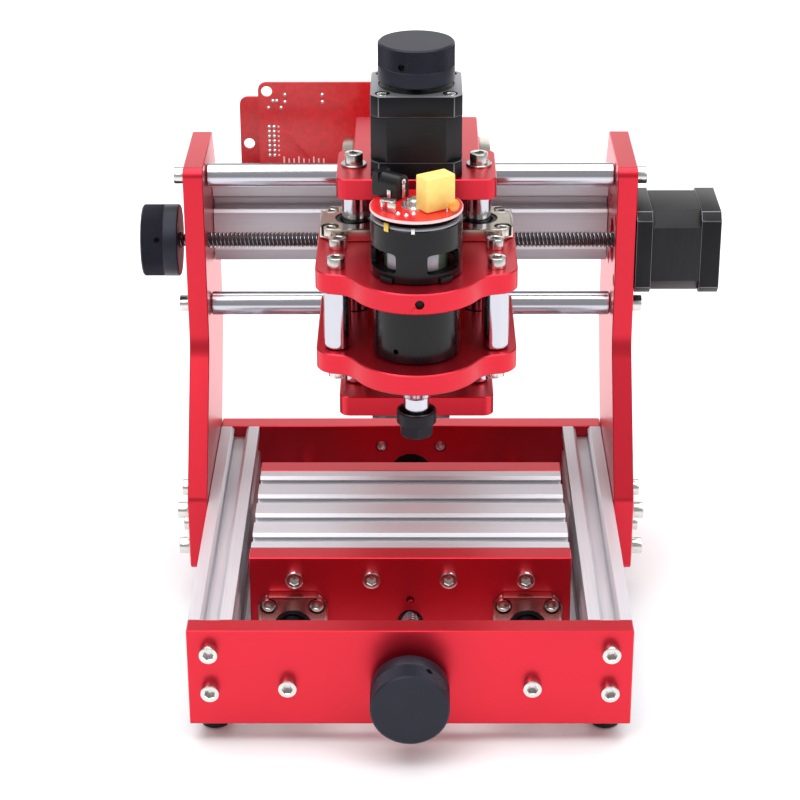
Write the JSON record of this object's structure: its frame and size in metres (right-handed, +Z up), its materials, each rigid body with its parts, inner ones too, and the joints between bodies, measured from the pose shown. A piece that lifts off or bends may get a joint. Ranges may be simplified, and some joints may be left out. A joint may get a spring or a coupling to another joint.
{
  "type": "desktop cnc router",
  "caption": "Small desktop milling machine: red plates, sliding slotted table, gantry carriage and spindle, each axis on rods with a lead screw and hand knob.",
  "frame": {"origin": "centre of the footprint of the whole machine's bounding box, on the surface that its feet stand on", "axes": "+Z up, -Y towards the operator (the knob end of the base), +X to the operator's right (the gantry motor)"},
  "size_m": [0.2842, 0.2848, 0.289],
  "materials": {
    "anodised_red": "red anodised, satin",
    "bare_aluminium": "clear anodised extrusion, fine lines along its length",
    "polished_rod": "ground and polished",
    "lead_screw": "rolled thread",
    "bearing_nickel": "nickel plated, satin",
    "motor_black": "black, satin",
    "knob_grey": "dark grey anodised, knurled",
    "rubber": "matt",
    "nut_plastic": "acetal, satin",
    "spindle_black": "black, semi-gloss",
    "board_red": "solder mask on glass laminate",
    "jack_plastic": "moulded",
    "collet_steel": "ground"
  },
  "bodies": {
    "frame": {"front_plate": "anodised_red", "back_plate": "anodised_red", "left_rail": "bare_aluminium", "right_rail": "bare_aluminium", "foot_front_left": "rubber", "foot_front_right": "rubber", "foot_back_left": "rubber", "foot_back_right": "rubber", "left_side_plate": "anodised_red", "right_side_plate": "anodised_red", "cross_profile": "bare_aluminium", "x_rod_lower": "polished_rod", "x_rod_upper": "polished_rod", "y_rod_left": "polished_rod", "y_rod_right": "polished_rod", "x_motor": "motor_black", "y_motor": "motor_black", "controller_board": "board_red", "driver_board": "board_red"},
    "table_slide": {"table": "bare_aluminium", "front_carrier": "anodised_red", "rear_carrier": "anodised_red", "y_bearing_front_left": "bearing_nickel", "y_bearing_front_right": "bearing_nickel", "y_bearing_rear_left": "bearing_nickel", "y_bearing_rear_right": "bearing_nickel", "y_nut": "nut_plastic"},
    "carriage": {"z_top_plate": "anodised_red", "z_bottom_plate": "anodised_red", "left_cheek": "anodised_red", "right_cheek": "anodised_red", "x_bearing_lower_left": "bearing_nickel", "x_bearing_lower_right": "bearing_nickel", "x_bearing_upper_left": "bearing_nickel", "x_bearing_upper_right": "bearing_nickel", "x_nut": "nut_plastic", "z_rod_left": "polished_rod", "z_rod_right": "polished_rod", "z_motor": "motor_black"},
    "spindle_slide": {"upper_clamp_plate": "anodised_red", "lower_clamp_plate": "anodised_red", "pillar_front_left": "polished_rod", "pillar_front_right": "polished_rod", "pillar_rear_left": "polished_rod", "pillar_rear_right": "polished_rod", "spindle_can": "spindle_black", "spindle_board": "board_red", "power_jack": "jack_plastic", "z_bearing_left": "bearing_nickel", "z_bearing_right": "bearing_nickel", "z_nut": "nut_plastic"},
    "x_screw": {"x_lead_screw": "lead_screw", "x_knob": "knob_grey"},
    "y_screw": {"y_lead_screw": "lead_screw", "y_knob": "knob_grey"},
    "z_screw": {"z_lead_screw": "lead_screw", "z_knob": "knob_grey"},
    "spindle": {"spindle_shaft": "polished_rod", "collet_nut": "spindle_black", "collet": "collet_steel"}
  },
  "joints": [
    {"name": "x_screw_spin", "type": "hinge", "parent": "frame", "child": "x_screw", "pos_m": [-0.00945, 0.06705, 0.1735], "axis": [1, 0, 0], "range_deg": [-5405, 5945]},
    {"name": "x_slide", "type": "slide", "parent": "frame", "child": "carriage", "axis": [1, 0, 0], "range_m": [-0.066, 0.06]},
    {"name": "y_screw_spin", "type": "hinge", "parent": "frame", "child": "y_screw", "pos_m": [-0.00945, -0.02495, 0.0312], "axis": [0, 1, 0], "range_deg": [-4235, 3425]},
    {"name": "y_slide", "type": "slide", "parent": "frame", "child": "table_slide", "axis": [0, 1, 0], "range_m": [-0.038, 0.047]},
    {"name": "z_screw_spin", "type": "hinge", "parent": "carriage", "child": "z_screw", "pos_m": [-0.00645, 0.02035, 0.2], "axis": [0, 0, 1], "range_deg": [-1400, 2075]},
    {"name": "z_slide", "type": "slide", "parent": "carriage", "child": "spindle_slide", "axis": [0, 0, 1], "range_m": [-0.023, 0.0155]},
    {"name": "spindle_spin", "type": "hinge", "parent": "spindle_slide", "child": "spindle", "pos_m": [-0.00645, -0.03045, 0.14], "axis": [0, 0, 1], "continuous": true}
  ],
  "couplings": [
    {"joint": "x_screw_spin", "follows": "x_slide", "rad_per_m": -1570.8},
    {"joint": "y_screw_spin", "follows": "y_slide", "rad_per_m": -1570.8},
    {"joint": "z_screw_spin", "follows": "z_slide", "rad_per_m": -1570.8}
  ]
}
